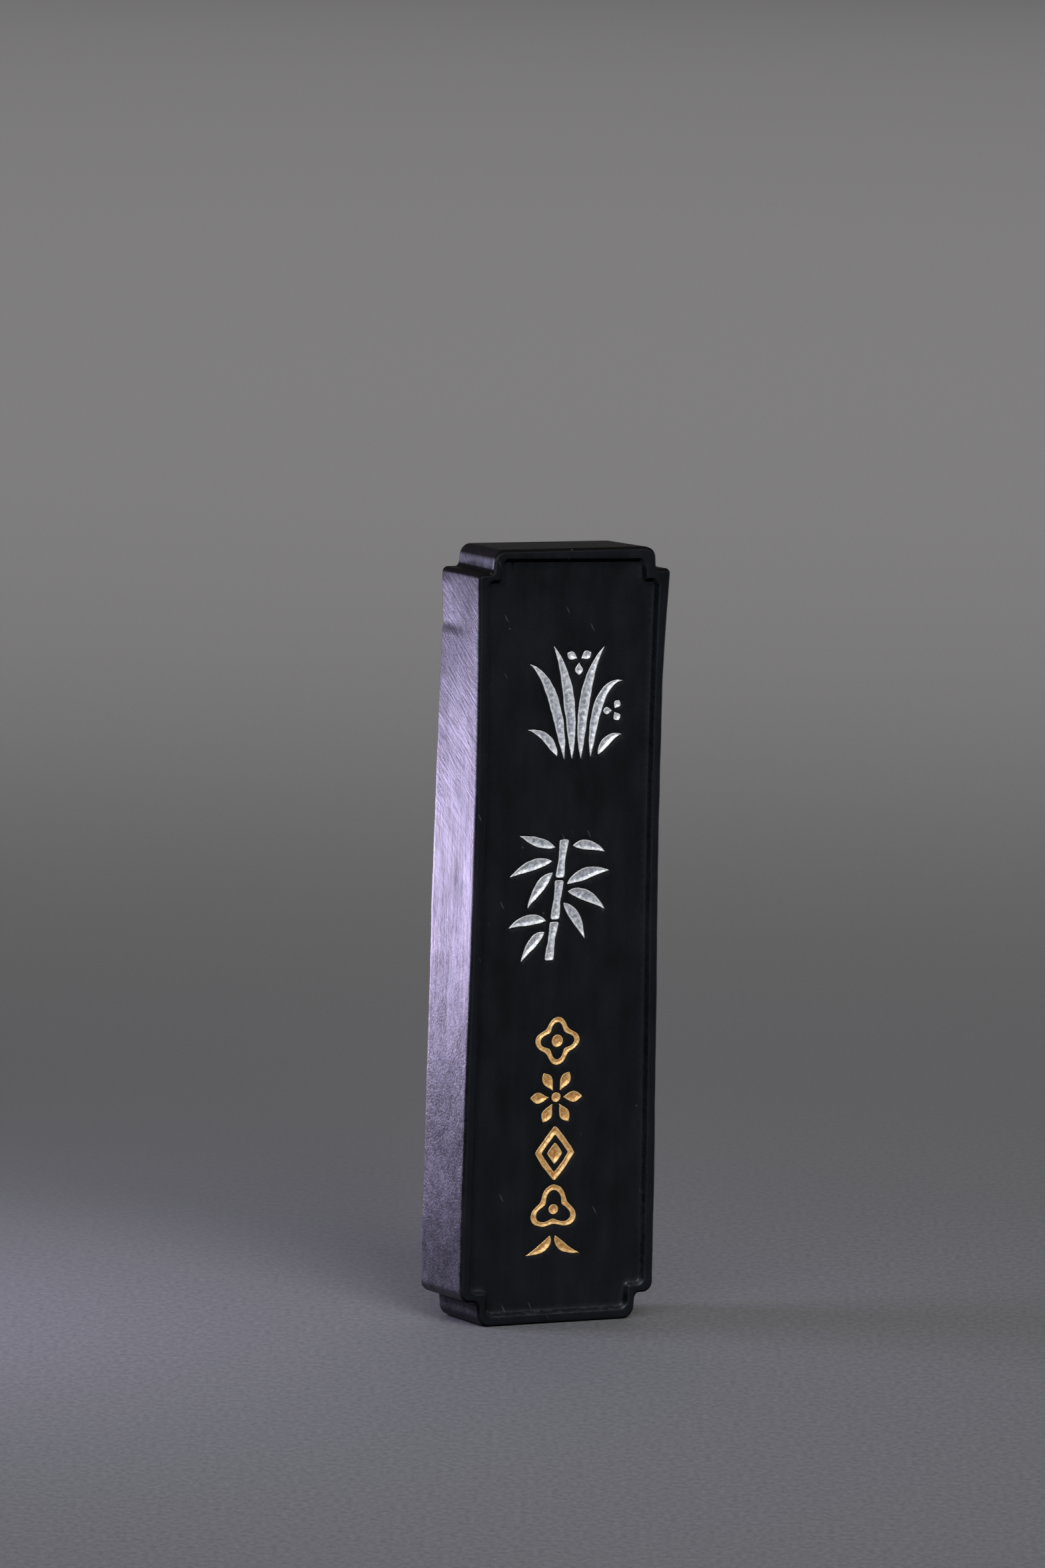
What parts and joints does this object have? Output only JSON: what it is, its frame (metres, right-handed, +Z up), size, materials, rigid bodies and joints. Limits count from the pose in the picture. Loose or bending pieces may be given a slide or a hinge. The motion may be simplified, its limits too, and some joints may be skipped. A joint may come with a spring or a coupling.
{
  "type": "ink stick",
  "caption": "Standing oblong cake of black ink with stepped corners, a raised rim and a sunk panel, with silver plant sprays and gold crests let into its face.",
  "frame": {"origin": "centre of the bottom end, on the surface the stick stands on", "axes": "+Z up the stick's length, +X across its width to the viewer's right, decorated face towards -Y"},
  "size_m": [0.026, 0.0096, 0.09],
  "materials": {
    "ink": "satin black, moulded and burnished ink",
    "silver_pigment": "brushed-on silver powder paint, slightly uneven",
    "gold_pigment": "brushed-on gold powder paint, slightly uneven"
  },
  "bodies": {
    "root": {"bamboo_leaf_1": "silver_pigment", "bamboo_leaf_2": "silver_pigment", "bamboo_leaf_3": "silver_pigment", "bamboo_leaf_4": "silver_pigment", "bamboo_leaf_5": "silver_pigment", "bamboo_leaf_6": "silver_pigment", "bamboo_leaf_7": "silver_pigment", "bamboo_leaf_8": "silver_pigment", "bamboo_leaf_9": "silver_pigment", "bamboo_stem_1": "silver_pigment", "bamboo_stem_2": "silver_pigment", "bamboo_stem_3": "silver_pigment", "cloud_boss": "gold_pigment", "cloud_ring": "gold_pigment", "cloud_wisp_1": "gold_pigment", "cloud_wisp_2": "gold_pigment", "ink_body": "ink", "lozenge_boss": "gold_pigment", "lozenge_ring": "gold_pigment", "orchid_blade_1": "silver_pigment", "orchid_blade_2": "silver_pigment", "orchid_blade_3": "silver_pigment", "orchid_blade_4": "silver_pigment", "orchid_blade_5": "silver_pigment", "orchid_blade_6": "silver_pigment", "orchid_petal_1": "silver_pigment", "orchid_petal_2": "silver_pigment", "orchid_petal_3": "silver_pigment", "orchid_petal_4": "silver_pigment", "orchid_petal_5": "silver_pigment", "orchid_petal_6": "silver_pigment", "quatrefoil_boss": "gold_pigment", "quatrefoil_ring": "gold_pigment", "rosette_boss": "gold_pigment", "rosette_petal_1": "gold_pigment", "rosette_petal_2": "gold_pigment", "rosette_petal_3": "gold_pigment", "rosette_petal_4": "gold_pigment", "rosette_petal_5": "gold_pigment", "rosette_petal_6": "gold_pigment"}
  },
  "joints": []
}
